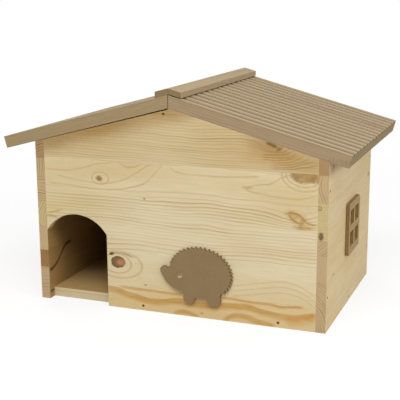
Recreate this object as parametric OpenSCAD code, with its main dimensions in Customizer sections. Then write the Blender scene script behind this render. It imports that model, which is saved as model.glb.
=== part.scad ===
// Hedgehog house: a pine box with an arched entrance at one side, a gable roof of grooved boards,
// a ridge cap, and a left roof half that swings up on two butt hinges under its eave.
// Millimetres. The origin is on the ground under the ridge, halfway from the figure's face to the
// roof's back edge; the entrance faces -Y.

/* [Body] */
// Width over both side walls
body_w = 500; // [440:5:580]
// Depth from the front face to the back face
body_d = 326; // [290:2:380]
// Height of the left side wall at its outer face
wall_h = 274; // [240:2:320]
// Thickness of the pine boards of the body
board_t = 16; // [12:0.5:20]
// Distance of the ridge to the left of the body's middle
ridge_offset = 9; // [0:1:20]

/* [Entrance] */
// Width of the entrance, from the left wall's inner face
entrance_w = 112; // [96:1:130]
// Height of the arch's crown above the ground
entrance_h = 154; // [130:1:180]
// Height of the arch above its springing line
arch_rise = 31; // [20:1:44]

/* [Inner partition] */
// Length of the partition, from the front panel towards the back
partition_l = 168; // [120:2:190]
// Distance of the partition's top below the top of the left wall
partition_drop = 30; // [20:1:80]
// Distance of the partition to the right of the entrance's right jamb
partition_inset = 4; // [0:1:20]

/* [Roof] */
// Slope of both roof halves in degrees
roof_pitch = 15; // [12:0.25:22]
// Thickness of the roof boards
roof_t = 20; // [17:0.5:26]
// Length of the right eave past the right wall, along the slope
eave_overhang = 29.5; // [28:0.5:60]
// Length of the left eave past the left wall, along the slope
left_overhang = 57; // [40:0.5:80]
// Length of the roof past the back panel
rear_overhang = 56; // [10:1:80]
// Gap between the two boards of a roof half
board_gap = 1; // [0.5:0.25:2]

/* [Roof grooves] */
// Number of grooves from front to back
groove_n = 15; // [13:1:17]
// Width of a groove at the surface
groove_w = 12.4; // [8:0.2:14]
// Depth of a groove
groove_depth = 4; // [1.5:0.25:5]
// Distance of the outermost grooves from the front and back edges
groove_edge = 16; // [14:0.5:24]
// Number of whole grooves on the front board; the next one holds the board joint
front_grooves = 6; // [4:1:7]

/* [Ridge cap] */
// Width over both wings of the cap
cap_w = 44; // [36:1:60]
// Thickness of the cap, measured upright
cap_t = 10.5; // [8:0.5:14]

/* [Opening roof half] */
// Open joint between the two roof halves at the ridge
ridge_gap = 1; // [0.5:0.25:3]
// Gap under the opening half at the left wall
wall_gap = 0.5; // [0.3:0.1:1]
// Gap under the opening half at the ridge end of the gables
gable_gap = 2; // [1:0.25:3]
// Gap between the cap and the fixed roof half
cap_gap = 1.6; // [0.3:0.1:3]
// Clearance between the ridge beam and the opening half
seat_gap = 0.3; // [0.2:0.1:0.6]

/* [Ridge beam and cleats] */
// Width of the ridge beam
beam_w = 34; // [30:1:50]
// Height of the ridge beam
beam_h = 36; // [28:1:50]
// Width of the cleat inside the right eave
eave_cleat_w = 22; // [16:1:30]
// Thickness of the cleat inside the right eave, across the slope
eave_cleat_t = 22; // [16:1:30]
// Width of the cleat under the opening half, along the slope
flap_cleat_w = 30; // [20:1:50]
// Thickness of the cleat under the opening half
flap_cleat_t = 18; // [14:1:24]
// Distance of that cleat's middle from the ridge, along the slope
flap_cleat_run = 130; // [90:2:170]
// Clearance between that cleat's ends and the gables
flap_cleat_end_gap = 3; // [2:0.5:6]

/* [Hinges] */
// Length of a hinge along its pin
leaf_l = 40; // [34:1:60]
// Width of a leaf from the pin to its free edge
leaf_w = 24; // [20:1:26]
// Thickness of a leaf
leaf_t = 1.5; // [1.2:0.1:2]
// Outer radius of the knuckles
knuckle_r = 3; // [2.5:0.1:4]
// Length of the middle knuckle
knuckle_l = 14; // [10:0.5:18]
// Gap between neighbouring knuckles
knuckle_gap = 0.3; // [0.2:0.1:0.6]
// Clearance between the knuckles and the wood
hinge_clear = 0.3; // [0.2:0.1:0.6]
// Radius of the hinge pin
pin_r = 1.25; // [1:0.05:1.6]
// Radial clearance of the pin in its knuckles
pin_clear = 0.05; // [0.02:0.01:0.1]
// Distance of each hinge's middle from the front or back of the body
hinge_inset = 60; // [40:1:90]
// Distance between the two screws of a leaf
hinge_screw_pitch = 24; // [18:1:28]
// Distance of the screws from the pin
hinge_screw_row = 15; // [12:0.5:17]

/* [Hedgehog figure] */
// Thickness of the figure
figure_t = 5; // [4:0.5:8]
// Distance of the figure's middle to the right of the body's middle
figure_x = 45; // [0:1:120]
// Height of the figure's middle above the ground
figure_z = 76; // [70:1:120]
// Length of the spiny back's oval
dome_w = 110; // [90:1:130]
// Height of the spiny back's oval
dome_h = 88; // [70:1:100]
// Lean of the oval towards the tail in degrees
dome_lean = 4.5; // [0:0.5:10]
// Number of spines
spine_n = 26; // [18:1:34]
// Depth of the notches between the spines
spine_h = 4.5; // [2:0.25:6]
// Distance of the snout's middle in front of the figure's middle
snout_reach = 62.5; // [58:0.5:70]
// Radius of the snout
snout_r = 6.8; // [5:0.2:9]
// Bulge of the chin line
chin_bulge = 9.5; // [5:0.5:13]
// Distance of the feet's middles below the figure's middle
foot_drop = 42; // [38:0.5:46]
// Distance of the rear foot's middle behind the figure's middle
rear_foot_x = 23; // [18:1:28]
// Radius of the rear foot
rear_foot_r = 11.7; // [9:0.1:13]
// Distance of the front foot's middle in front of the figure's middle
front_foot_x = 19; // [15:1:24]
// Radius of the front foot
front_foot_r = 10.3; // [8:0.1:12]
// Height of the rear leg's back edge above its foot's middle
rear_leg_h = 10; // [6:0.5:14]
// Radius of the eye hole
eye_r = 3.5; // [2:0.25:4.5]
// Distance of the eye in front of the figure's middle
eye_x = 35; // [28:0.5:40]
// Distance of the eye below the figure's middle
eye_drop = 7; // [2:0.5:12]

/* [Window frame] */
// Thickness of the frame
window_t = 6; // [4:0.5:8]
// Width of the frame
window_w = 84; // [70:1:110]
// Height of the frame
window_h = 88; // [70:1:110]
// Width of the frame's upright borders
window_border = 11; // [6:0.5:14]
// Width of the frame's top and bottom borders
window_rail = 13; // [6:0.5:18]
// Width of the upright bar
window_bar_up = 10; // [5:0.5:14]
// Width of the level bar
window_bar_level = 12; // [5:0.5:20]
// Radius of the frame's corners
window_corner_r = 5; // [1:0.5:8]
// Distance of the frame's middle from the front face
window_y = 167; // [110:1:200]
// Height of the frame's middle above the ground
window_z = 133.5; // [100:0.5:180]

/* [Nails] */
// Diameter of a nail's shank
nail_d = 1.8; // [1.4:0.1:2.4]
// Diameter of a nail's head
nail_head_d = 4.4; // [2.6:0.1:5]
// Thickness of a nail's head
nail_head_t = 1; // [0.6:0.1:1.5]
// Length of a nail
nail_l = 40; // [30:1:50]
// Height of the lower nails in the side walls
nail_low_z = 56; // [40:1:80]
// Height of the upper nails in the side walls
nail_high_z = 224; // [190:1:230]
// Height of the floor nails
floor_nail_z = 8; // [5:0.5:11]
// Distance of the floor nails in the panels from the partition and from the right wall
floor_nail_inset = 60; // [30:1:90]
// Distance of the ridge nails below the ridge
ridge_nail_drop = 9; // [8:0.5:20]
// Distance of the ridge nails to the left of the ridge
ridge_nail_x = 8; // [3:1:12]

/* [Screws] */
// Diameter of a wood screw's shank
screw_d = 3.5; // [3:0.1:4]
// Diameter of a wood screw's head
screw_head_d = 7; // [6:0.1:8]
// Depth of a wood screw in the roof board that it holds
screw_bite = 10; // [6:0.5:12]
// Depth of a cap screw in the cap
cap_bite = 6; // [3:0.5:7]
// Distance of a wood screw from a board's end or the board joint
screw_inset = 35; // [25:1:45]
// Diameter of a hinge screw's shank
hinge_screw_d = 3; // [2.4:0.1:3.2]
// Diameter of a hinge screw's head
hinge_screw_head_d = 5.4; // [4.6:0.1:5.6]
// Length of a hinge screw
hinge_screw_l = 13; // [8:0.5:13]
// Radial clearance of nails and screws in their holes
fastener_clear = 0.05; // [0.02:0.01:0.1]

/* [Hidden] */
$fn = 48;

pine = "#dcc596";
treated_pine = "#b59a74";
brown_mdf = "#8f7450";
zinc = "#b9bcbf";

// Planes of the body: outer and inner faces of the side walls, front and back
wall_x0 = ridge_offset - body_w / 2;
wall_x1 = ridge_offset + body_w / 2;
in_x0 = wall_x0 + board_t;
in_x1 = wall_x1 - board_t;
roof_d = body_d + rear_overhang;
y_front = (figure_t - roof_d) / 2;
y_back = y_front + body_d;
y_roof_back = y_front + roof_d;
in_y0 = y_front + board_t;
in_y1 = y_back - board_t;

// Roof: height of the ridge's underside, slope length of each half, groove pattern
ridge_z = wall_h - wall_x0 * tan(roof_pitch);
roof_rise_t = roof_t / cos(roof_pitch);
right_run = wall_x1 / cos(roof_pitch) + eave_overhang;
left_run = -wall_x0 / cos(roof_pitch) + left_overhang;
groove_pitch = (roof_d - 2 * groove_edge) / (groove_n - 1);
groove_r = (pow(groove_w / 2, 2) + pow(groove_depth, 2)) / (2 * groove_depth);
joint_y = y_front + groove_edge + front_grooves * groove_pitch;

// Entrance: right jamb, springing line, radius of the arch and height of its middle
jamb_x = in_x0 + entrance_w;
arch_spring = entrance_h - arch_rise;
arch_r = (pow(entrance_w / 2, 2) + pow(arch_rise, 2)) / (2 * arch_rise);
arch_mid_z = entrance_h - arch_r;
partition_x = jamb_x + partition_inset;

// Hinge: distance of the pin from the wood, and the pin's place
hinge_off = knuckle_r + hinge_clear;
pin_x = wall_x0 - hinge_off;
pin_z = under_z(pin_x) - hinge_off / cos(roof_pitch);
knuckle_reach = knuckle_r + knuckle_gap;

// Height of the roof's underside over a point x, and of the gables under the opening half
function under_z(x) = ridge_z - abs(x) * tan(roof_pitch);
function flap_gap(x) = gable_gap + (wall_gap - gable_gap) * x / wall_x0;
function gable_left_z(x) = under_z(x) - flap_gap(x);
function top_z(x) = under_z(x) + roof_rise_t;

// Places of the roof screws from front to back: two in each board of a roof half
screw_ys = [in_y0 + screw_inset, joint_y - screw_inset, joint_y + screw_inset, in_y1 - screw_inset];
cap_screw_ys = [
    y_front + screw_inset, joint_y - screw_inset,
    joint_y + screw_inset, y_roof_back - screw_inset
];
hinge_ys = [y_front + hinge_inset, y_back - hinge_inset];

// An upright outline in X and Z, drawn out from y0 to y1
module upright(y0, y1) {
    translate([0, y1, 0])
        rotate([90, 0, 0])
            linear_extrude(height = y1 - y0)
                children();
}

// The frame of a roof half: X runs down the slope from the ridge, Z points out of the roof
module right_slope() {
    translate([0, 0, ridge_z])
        rotate([0, roof_pitch, 0])
            children();
}

module left_slope() {
    mirror([1, 0, 0])
        right_slope()
            children();
}

// A wire nail with its head's top at the origin, driven along -Z; clear widens it to its hole
module nail(clear = 0) {
    translate([0, 0, -nail_l - clear])
        cylinder(d = nail_d + 2 * clear, h = nail_l);
    translate([0, 0, -nail_head_t - clear])
        cylinder(d = nail_head_d + 2 * clear, h = nail_head_t + 2 * clear);
}

// A countersunk screw with its head's top at the origin, driven along -Z
module screw(d, head_d, l, clear = 0) {
    head_h = (head_d - d) / 2;
    translate([0, 0, -l - clear])
        cylinder(d = d + 2 * clear, h = l);
    translate([0, 0, -head_h - clear])
        cylinder(d1 = d + 2 * clear, d2 = head_d + 2 * clear, h = head_h + clear);
    if (clear > 0)
        cylinder(d = head_d + 2 * clear, h = clear);
}

module wood_screw(l, clear = 0) {
    screw(screw_d, screw_head_d, l, clear);
}

module hinge_screw(clear = 0) {
    screw(hinge_screw_d, hinge_screw_head_d, hinge_screw_l, clear);
}

// Nails through the side walls into the edges of the front and back panels
module at_panel_nails() {
    nail_mid_z = (arch_spring + nail_high_z) / 2;
    for (z = [nail_low_z, nail_high_z]) {
        for (y = [y_front + board_t / 2, y_back - board_t / 2])
            translate([wall_x1, y, z])
                rotate([0, 90, 0])
                    children();
        translate([wall_x0, y_back - board_t / 2, z])
            rotate([0, -90, 0])
                children();
    }
    for (z = [nail_mid_z, nail_high_z])
        translate([wall_x0, y_front + board_t / 2, z])
            rotate([0, -90, 0])
                children();
}

// Nails through all four sides into the edges of the floor
module at_floor_nails() {
    for (x = [partition_x + floor_nail_inset, in_x1 - floor_nail_inset]) {
        translate([x, y_front, floor_nail_z])
            rotate([90, 0, 0])
                children();
        translate([x, y_back, floor_nail_z])
            rotate([-90, 0, 0])
                children();
    }
    translate([wall_x1, (y_front + y_back) / 2, floor_nail_z])
        rotate([0, 90, 0])
            children();
    translate([wall_x0, (y_front + y_back) / 2, floor_nail_z])
        rotate([0, -90, 0])
            children();
}

// Nails through the gables into the ends of the ridge beam
module at_ridge_nails() {
    translate([-ridge_nail_x, y_front, ridge_z - ridge_nail_drop])
        rotate([90, 0, 0])
            children();
    translate([-ridge_nail_x, y_back, ridge_z - ridge_nail_drop])
        rotate([-90, 0, 0])
            children();
}

// Nails from below the floor into the partition
module at_partition_nails() {
    for (y = [in_y0 + screw_inset, in_y0 + partition_l - screw_inset])
        translate([partition_x + board_t / 2, y, 0])
            rotate([180, 0, 0])
                children();
}

// Screws from inside through the eave cleat into the right wall
module at_eave_cleat_screws() {
    cleat_mid_z = under_z(in_x1 - eave_cleat_w / 2) - eave_cleat_t / 2;
    for (y = [in_y0 + 2 * screw_inset, in_y1 - 2 * screw_inset])
        translate([in_x1 - eave_cleat_w, y, cleat_mid_z])
            rotate([0, -90, 0])
                children();
}

// Screws up through the eave cleat into the fixed roof half
module at_eave_roof_screws() {
    cleat_mid_run = (in_x1 - eave_cleat_w / 2) / cos(roof_pitch);
    for (y = screw_ys)
        right_slope()
            translate([cleat_mid_run - eave_cleat_t / 2 * tan(roof_pitch), y, -eave_cleat_t])
                rotate([180, 0, 0])
                    children();
}

// Screws up through the ridge beam into the fixed roof half
module at_beam_roof_screws() {
    for (y = screw_ys)
        translate([beam_w / 4, y, ridge_z - beam_h])
            rotate([180, 0, 0])
                children();
}

// Screws up through the flap cleat into the opening roof half
module at_flap_cleat_screws() {
    for (y = screw_ys)
        left_slope()
            translate([flap_cleat_run, y, -flap_cleat_t])
                rotate([180, 0, 0])
                    children();
}

// Screws up through the opening roof half into the cap's left wing
module at_cap_screws() {
    for (y = cap_screw_ys)
        left_slope()
            translate([cap_w / 4, y, 0])
                rotate([180, 0, 0])
                    children();
}

// The wall leaf's frame at each hinge: origin on the pin, wood at +X, leaf along -Z
module at_wall_leaves() {
    for (y = hinge_ys)
        translate([pin_x, y, pin_z])
            children();
}

// The roof leaf's frame at each hinge: the same, turned to the underside of the eave
module at_roof_leaves() {
    for (y = hinge_ys)
        translate([pin_x, y, pin_z])
            rotate([0, -90 - roof_pitch, 0])
                mirror([0, 0, 1])
                    children();
}

module at_leaf_screws() {
    for (side = [-1, 1])
        translate([hinge_off - leaf_t, side * hinge_screw_pitch / 2, -hinge_screw_row])
            rotate([0, -90, 0])
                children();
}

// One leaf with its knuckles, each given by where it starts and ends along the pin
module leaf(knuckles) {
    difference() {
        union() {
            translate([hinge_off - leaf_t, -leaf_l / 2, -leaf_w])
                cube([leaf_t, leaf_l, leaf_w - knuckle_reach]);
            for (k = knuckles) {
                translate([hinge_off - leaf_t, k[0], -knuckle_reach])
                    cube([leaf_t, k[1] - k[0], knuckle_reach]);
                translate([0, k[1], 0])
                    rotate([90, 0, 0])
                        cylinder(r = knuckle_r, h = k[1] - k[0]);
            }
        }
        translate([0, leaf_l, 0])
            rotate([90, 0, 0])
                cylinder(r = pin_r + pin_clear, h = 2 * leaf_l);
        at_leaf_screws()
            hinge_screw(fastener_clear);
    }
}

// Body

module floor_board() {
    color(pine)
        difference() {
            translate([in_x0, in_y0, 0])
                cube([in_x1 - in_x0, in_y1 - in_y0, board_t]);
            at_floor_nails()
                nail(fastener_clear);
            at_partition_nails()
                nail(fastener_clear);
        }
}

// Outline of a gable between the side walls: the left slope lies lower, clear of the opening half
module gable_outline() {
    polygon([
        [in_x0, 0],
        [in_x1, 0],
        [in_x1, under_z(in_x1)],
        [0, ridge_z],
        [0, ridge_z - gable_gap],
        [in_x0, gable_left_z(in_x0)]
    ]);
}

// Entrance: a straight part closed by a segment arch, running past the panel's left edge and bottom
module entrance_outline() {
    past = board_t;
    intersection() {
        translate([in_x0 - past, -past])
            square([entrance_w + past, entrance_h + 2 * past]);
        union() {
            translate([in_x0 + entrance_w / 2, arch_mid_z])
                circle(r = arch_r);
            translate([in_x0 - 2 * past, -2 * past])
                square([entrance_w + 4 * past, arch_mid_z + 2 * past]);
        }
    }
}

module front_panel() {
    color(pine)
        difference() {
            upright(y_front, in_y0)
                difference() {
                    gable_outline();
                    entrance_outline();
                }
            at_panel_nails()
                nail(fastener_clear);
            at_floor_nails()
                nail(fastener_clear);
            at_ridge_nails()
                nail(fastener_clear);
        }
}

module back_panel() {
    color(pine)
        difference() {
            upright(in_y1, y_back)
                gable_outline();
            at_panel_nails()
                nail(fastener_clear);
            at_floor_nails()
                nail(fastener_clear);
            at_ridge_nails()
                nail(fastener_clear);
        }
}

module left_wall() {
    color(pine)
        difference() {
            upright(y_front, y_back)
                polygon([
                    [wall_x0, 0],
                    [in_x0, 0],
                    [in_x0, gable_left_z(in_x0)],
                    [wall_x0, gable_left_z(wall_x0)]
                ]);
            at_panel_nails()
                nail(fastener_clear);
            at_floor_nails()
                nail(fastener_clear);
            at_wall_leaves()
                at_leaf_screws()
                    hinge_screw(fastener_clear);
        }
}

module right_wall() {
    color(pine)
        difference() {
            upright(y_front, y_back)
                polygon([
                    [in_x1, 0],
                    [wall_x1, 0],
                    [wall_x1, under_z(wall_x1)],
                    [in_x1, under_z(in_x1)]
                ]);
            at_panel_nails()
                nail(fastener_clear);
            at_floor_nails()
                nail(fastener_clear);
            at_eave_cleat_screws()
                wood_screw(eave_cleat_w + board_t / 2, fastener_clear);
        }
}

module inner_partition() {
    color(pine)
        difference() {
            translate([partition_x, in_y0, board_t])
                cube([board_t, partition_l, wall_h - partition_drop - board_t]);
            at_partition_nails()
                nail(fastener_clear);
        }
}

module ridge_beam() {
    color(pine)
        difference() {
            upright(in_y0, in_y1)
                polygon([
                    [-beam_w / 2, ridge_z - beam_h],
                    [beam_w / 2, ridge_z - beam_h],
                    [beam_w / 2, under_z(beam_w / 2)],
                    [0, ridge_z],
                    [0, ridge_z - seat_gap],
                    [-beam_w / 2, under_z(beam_w / 2) - seat_gap]
                ]);
            at_ridge_nails()
                nail(fastener_clear);
            at_beam_roof_screws()
                wood_screw(beam_h + screw_bite, fastener_clear);
        }
}

module eave_cleat() {
    cleat_drop = eave_cleat_t / cos(roof_pitch);
    cleat_x = in_x1 - eave_cleat_w;
    color(pine)
        difference() {
            upright(in_y0, in_y1)
                polygon([
                    [cleat_x, under_z(cleat_x) - cleat_drop],
                    [in_x1, under_z(in_x1) - cleat_drop],
                    [in_x1, under_z(in_x1)],
                    [cleat_x, under_z(cleat_x)]
                ]);
            at_eave_cleat_screws()
                wood_screw(eave_cleat_w + board_t / 2, fastener_clear);
            at_eave_roof_screws()
                wood_screw(eave_cleat_t + screw_bite, fastener_clear);
        }
}

// Roof

// A grooved board of a roof half from y0 to y1, in the slope's frame: plumb at the ridge, square at its run
module grooved_board(y0, y1, run) {
    plumb = roof_t * tan(roof_pitch);
    ridge_cut = ridge_gap / 2 / cos(roof_pitch);
    difference() {
        upright(y0, y1)
            polygon([
                [ridge_cut, 0],
                [run, 0],
                [run, roof_t],
                [ridge_cut - plumb, roof_t]
            ]);
        for (i = [0 : groove_n - 1])
            translate([-roof_t, y_front + groove_edge + i * groove_pitch, roof_t - groove_depth + groove_r])
                rotate([0, 90, 0])
                    cylinder(r = groove_r, h = run + 2 * roof_t);
    }
}

module fixed_roof_board(y0, y1) {
    color(treated_pine)
        difference() {
            right_slope()
                grooved_board(y0, y1, right_run);
            at_eave_roof_screws()
                wood_screw(eave_cleat_t + screw_bite, fastener_clear);
            at_beam_roof_screws()
                wood_screw(beam_h + screw_bite, fastener_clear);
        }
}

module opening_roof_board(y0, y1) {
    color(treated_pine)
        difference() {
            left_slope()
                grooved_board(y0, y1, left_run);
            at_flap_cleat_screws()
                wood_screw(flap_cleat_t + screw_bite, fastener_clear);
            at_cap_screws()
                wood_screw(roof_t + cap_bite, fastener_clear);
            at_roof_leaves()
                at_leaf_screws()
                    hinge_screw(fastener_clear);
        }
}

module right_roof_front_board() {
    fixed_roof_board(y_front, joint_y - board_gap / 2);
}

module right_roof_rear_board() {
    fixed_roof_board(joint_y + board_gap / 2, y_roof_back);
}

module left_roof_front_board() {
    opening_roof_board(y_front, joint_y - board_gap / 2);
}

module left_roof_rear_board() {
    opening_roof_board(joint_y + board_gap / 2, y_roof_back);
}

module flap_cleat() {
    cleat_l = in_y1 - in_y0 - 2 * flap_cleat_end_gap;
    color(pine)
        difference() {
            left_slope()
                translate([flap_cleat_run - flap_cleat_w / 2, in_y0 + flap_cleat_end_gap, -flap_cleat_t])
                    cube([flap_cleat_w, cleat_l, flap_cleat_t]);
            at_flap_cleat_screws()
                wood_screw(flap_cleat_t + screw_bite, fastener_clear);
        }
}

// Chevron cap: its left wing sits on the opening half, its right wing laps over the fixed half
module ridge_cap() {
    wing = cap_w / 2;
    color(treated_pine)
        difference() {
            upright(y_front, y_roof_back)
                polygon([
                    [-wing, top_z(wing)],
                    [0, top_z(0)],
                    [0, top_z(0) + cap_gap],
                    [wing, top_z(wing) + cap_gap],
                    [wing, top_z(wing) + cap_t],
                    [0, top_z(0) + cap_t],
                    [-wing, top_z(wing) + cap_t]
                ]);
            at_cap_screws()
                wood_screw(roof_t + cap_bite, fastener_clear);
        }
}

// Ornaments

// A point of the spiny back's oval at an angle, drawn in by a depth
function dome_point(angle, depth) =
    let (p = [(dome_w / 2 - depth) * cos(angle), (dome_h / 2 - depth) * sin(angle)])
    [
        p[0] * cos(dome_lean) + p[1] * sin(dome_lean),
        p[1] * cos(dome_lean) - p[0] * sin(dome_lean)
    ];

// Points of an arc from p to q that bulges to the right of the way from p to q
function arc_points(p, q, bulge, steps) =
    let (
        chord = norm(q - p),
        r = (pow(chord / 2, 2) + pow(bulge, 2)) / (2 * bulge),
        along = (q - p) / chord,
        right = [along[1], -along[0]],
        middle = (p + q) / 2 - right * (r - bulge),
        half = asin(chord / 2 / r)
    )
    [
        for (i = [0 : steps])
            let (a = half * (2 * i / steps - 1))
            middle + r * (sin(a) * along + cos(a) * right)
    ];

// Outline of the figure about its middle, snout to the left
module figure_outline() {
    spine_first = 167;
    spine_last = -36;
    spine_step = (spine_first - spine_last) / (spine_n - 1);
    brow_angle = 45;
    chin_angle = 125;
    chin_steps = 12;
    overlap = 0.5;
    snout = [-snout_reach, 0];
    front_foot = [-front_foot_x, -foot_drop];
    rear_foot = [rear_foot_x, -foot_drop];
    chin_from = snout - [snout_r - overlap, 0];
    chin_to = front_foot + (front_foot_r - overlap) * [cos(chin_angle), sin(chin_angle)];
    leg_back = rear_foot_r - overlap;
    spines = [
        for (i = [0 : spine_n - 1], half = [0, 1])
            dome_point(spine_last + (i - (1 - half) / 2) * spine_step, (1 - half) * spine_h)
    ];
    polygon(concat(
        spines,
        [dome_point(spine_first + spine_step, spine_h)],
        [snout + (snout_r - overlap) * [cos(brow_angle), sin(brow_angle)]],
        arc_points(chin_from, chin_to, chin_bulge, chin_steps),
        [front_foot, rear_foot + [leg_back, 0], rear_foot + [leg_back, rear_leg_h]]
    ));
    translate(snout)
        circle(r = snout_r);
    translate(front_foot)
        circle(r = front_foot_r);
    translate(rear_foot)
        circle(r = rear_foot_r);
}

module hedgehog_figure() {
    color(brown_mdf)
        translate([ridge_offset + figure_x, y_front, figure_z])
            upright(-figure_t, 0)
                difference() {
                    figure_outline();
                    translate([-eye_x, -eye_drop])
                        circle(r = eye_r);
                }
}

module rounded_outline(w, h, r) {
    square([w - 2 * r, h], center = true);
    square([w, h - 2 * r], center = true);
    for (x = [-1, 1], y = [-1, 1])
        translate([x * (w / 2 - r), y * (h / 2 - r)])
            circle(r = r);
}

// Four panes between the border and the two bars
module window_frame() {
    pane_w = (window_w - 2 * window_border - window_bar_up) / 2;
    pane_h = (window_h - 2 * window_rail - window_bar_level) / 2;
    color(brown_mdf)
        translate([wall_x1, y_front + window_y, window_z])
            rotate([90, 0, 90])
                linear_extrude(height = window_t)
                    difference() {
                        rounded_outline(window_w, window_h, window_corner_r);
                        for (x = [-1, 1], y = [-1, 1])
                            translate([x * (window_bar_up + pane_w) / 2, y * (window_bar_level + pane_h) / 2])
                                square([pane_w, pane_h], center = true);
                    }
}

// Hinges

module hinge_wall_leaves() {
    color(zinc)
        at_wall_leaves()
            leaf([
                [-leaf_l / 2, -(knuckle_l + knuckle_gap) / 2],
                [(knuckle_l + knuckle_gap) / 2, leaf_l / 2]
            ]);
}

module hinge_roof_leaves() {
    color(zinc)
        at_roof_leaves()
            leaf([[-(knuckle_l - knuckle_gap) / 2, (knuckle_l - knuckle_gap) / 2]]);
}

module hinge_pins() {
    color(zinc)
        at_wall_leaves()
            translate([0, leaf_l / 2, 0])
                rotate([90, 0, 0])
                    cylinder(r = pin_r, h = leaf_l);
}

module hinge_wall_screws() {
    color(zinc)
        at_wall_leaves()
            at_leaf_screws()
                hinge_screw();
}

module hinge_roof_screws() {
    color(zinc)
        at_roof_leaves()
            at_leaf_screws()
                hinge_screw();
}

// Nails and screws

module panel_nails() {
    color(zinc)
        at_panel_nails()
            nail();
}

module floor_nails() {
    color(zinc)
        at_floor_nails()
            nail();
}

module ridge_nails() {
    color(zinc)
        at_ridge_nails()
            nail();
}

module partition_nails() {
    color(zinc)
        at_partition_nails()
            nail();
}

module eave_cleat_screws() {
    color(zinc)
        at_eave_cleat_screws()
            wood_screw(eave_cleat_w + board_t / 2);
}

module eave_roof_screws() {
    color(zinc)
        at_eave_roof_screws()
            wood_screw(eave_cleat_t + screw_bite);
}

module beam_roof_screws() {
    color(zinc)
        at_beam_roof_screws()
            wood_screw(beam_h + screw_bite);
}

module flap_cleat_screws() {
    color(zinc)
        at_flap_cleat_screws()
            wood_screw(flap_cleat_t + screw_bite);
}

module cap_screws() {
    color(zinc)
        at_cap_screws()
            wood_screw(roof_t + cap_bite);
}

floor_board();
front_panel();
back_panel();
left_wall();
right_wall();
inner_partition();
ridge_beam();
eave_cleat();
right_roof_front_board();
right_roof_rear_board();
left_roof_front_board();
left_roof_rear_board();
flap_cleat();
ridge_cap();
hedgehog_figure();
window_frame();
hinge_wall_leaves();
hinge_roof_leaves();
hinge_pins();
hinge_wall_screws();
hinge_roof_screws();
panel_nails();
floor_nails();
ridge_nails();
partition_nails();
eave_cleat_screws();
eave_roof_screws();
beam_roof_screws();
flap_cleat_screws();
cap_screws();
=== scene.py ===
"""Dresses the hedgehog house: planed pine, grooved treated roof, brown board ornaments, zinc hardware."""

import math
from typing import NamedTuple

import bpy
from bpy.props import FloatProperty, FloatVectorProperty, PointerProperty
from mathutils import Matrix, Vector

bl_info = {
    "name": "Hedgehog house",
    "version": (1, 0, 0),
    "blender": (4, 5, 0),
    "location": "View3D > Sidebar > House",
    "description": "Finishes the packed hedgehog house and sets its stage",
    "category": "Object",
}

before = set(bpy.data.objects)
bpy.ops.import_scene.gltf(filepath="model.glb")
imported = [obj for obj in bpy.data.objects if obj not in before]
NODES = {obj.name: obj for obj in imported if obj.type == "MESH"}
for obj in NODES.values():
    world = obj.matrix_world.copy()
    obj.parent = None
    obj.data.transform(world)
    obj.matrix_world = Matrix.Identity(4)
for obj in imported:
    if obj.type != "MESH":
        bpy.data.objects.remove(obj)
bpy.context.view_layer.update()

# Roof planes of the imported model: slope in radians, then the ridge's underside and board sizes in mm
ROOF_PITCH = math.radians(15.0)
RIDGE_Z = 338.576
ROOF_T = 20.0
GROOVE_DEPTH = 4.0
GROOVE_WIDTH = 12.4
GROOVE_PITCH = 25.0
FIRST_GROOVE_Y = -172.5
# How far the painted shade of the grooves reaches past a groove's edge, in mm
GROOVE_SHADE_REACH = 2.48

# Brown boards in mm: the middle and half of their thickness, the middle of the figure's eye, and a reach
# from there that takes in the eye's whole wall
FIGURE_MID_Y = -191.0
FIGURE_HALF_T = 2.5
WINDOW_MID_X = 262.0
WINDOW_HALF_T = 3.0
FIGURE_EYE = (19.0, FIGURE_MID_Y, 69.0)
DRILL_REACH = 6.0

# The photograph's camera: place in metres, turn to the left, tilt down and roll in degrees, lens in mm
CAMERA_PLACE = (0.56487, -1.51526, 0.52881)
CAMERA_YAW = 21.1
CAMERA_TILT = 13.169
CAMERA_ROLL = -0.348
CAMERA_LENS = 83.467
CAMERA_SENSOR = 36.0

# Widest board in mm, which the ramps and routes across a board are measured by
BOARD_SPAN = 600.0


class Knot(NamedTuple):
    """A knot, ring line or tinted patch: middle and half sizes in mm along, across and through its board."""

    middle: tuple
    half: tuple
    heart: str
    rim: str
    soft: float = 0.3
    strength: float = 0.9
    lean: float = 0.0
    hollow: bool = False


class Bulge(NamedTuple):
    """A place where a branch bent the rings, in mm: middle on the face, reach, and the rings' lift."""

    along: float
    across: float
    reach_l: float
    reach_w: float
    lift: float


class Streak(NamedTuple):
    """A dark line along the grain, in mm: points of its upper edge on the face, how far it fades, its colour.

    An inner one shows only on the face inside the house.
    """

    route: tuple
    fade: float
    code: str
    strength: float
    inner: bool = False


class Stave(NamedTuple):
    """A strip of an edge-glued board: start and log's pith in mm, colours, and strengths of its lines."""

    start: float = -300.0
    pith: tuple = (0.0, 0.0)
    face: str = "pine_pale"
    end: str = "end_brown"
    line: float = 0.5
    sawn: float = 1.0


class Board(NamedTuple):
    """How a board was sawn, in mm: grain as the axes along, across and through it, staves and rings."""

    grain: str
    seed: float
    staves: tuple = (Stave(),)
    flat_rings: bool = False
    rings: tuple = ((0.0, 4.6),)
    wave_l: float = 190.0
    wave_w: float = 42.0
    wave: float = 7.0
    turn: float = 0.0
    inside: float = 0.0
    inner: str = "pine_inside_shaded"
    knots: tuple = ()
    bulges: tuple = ()
    streaks: tuple = ()


def linear(code):
    """Turns an sRGB hex code into linear red, green and blue."""
    parts = [int(code[i:i + 2], 16) / 255 for i in (1, 3, 5)]
    return tuple(p / 12.92 if p <= 0.04045 else ((p + 0.055) / 1.055) ** 2.4 for p in parts)


def colour(name, description, code):
    """A colour property with its default written as sRGB hex."""
    return FloatVectorProperty(
        name=name, description=description, subtype="COLOR", size=3, min=0.0, max=1.0, default=linear(code))


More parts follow.
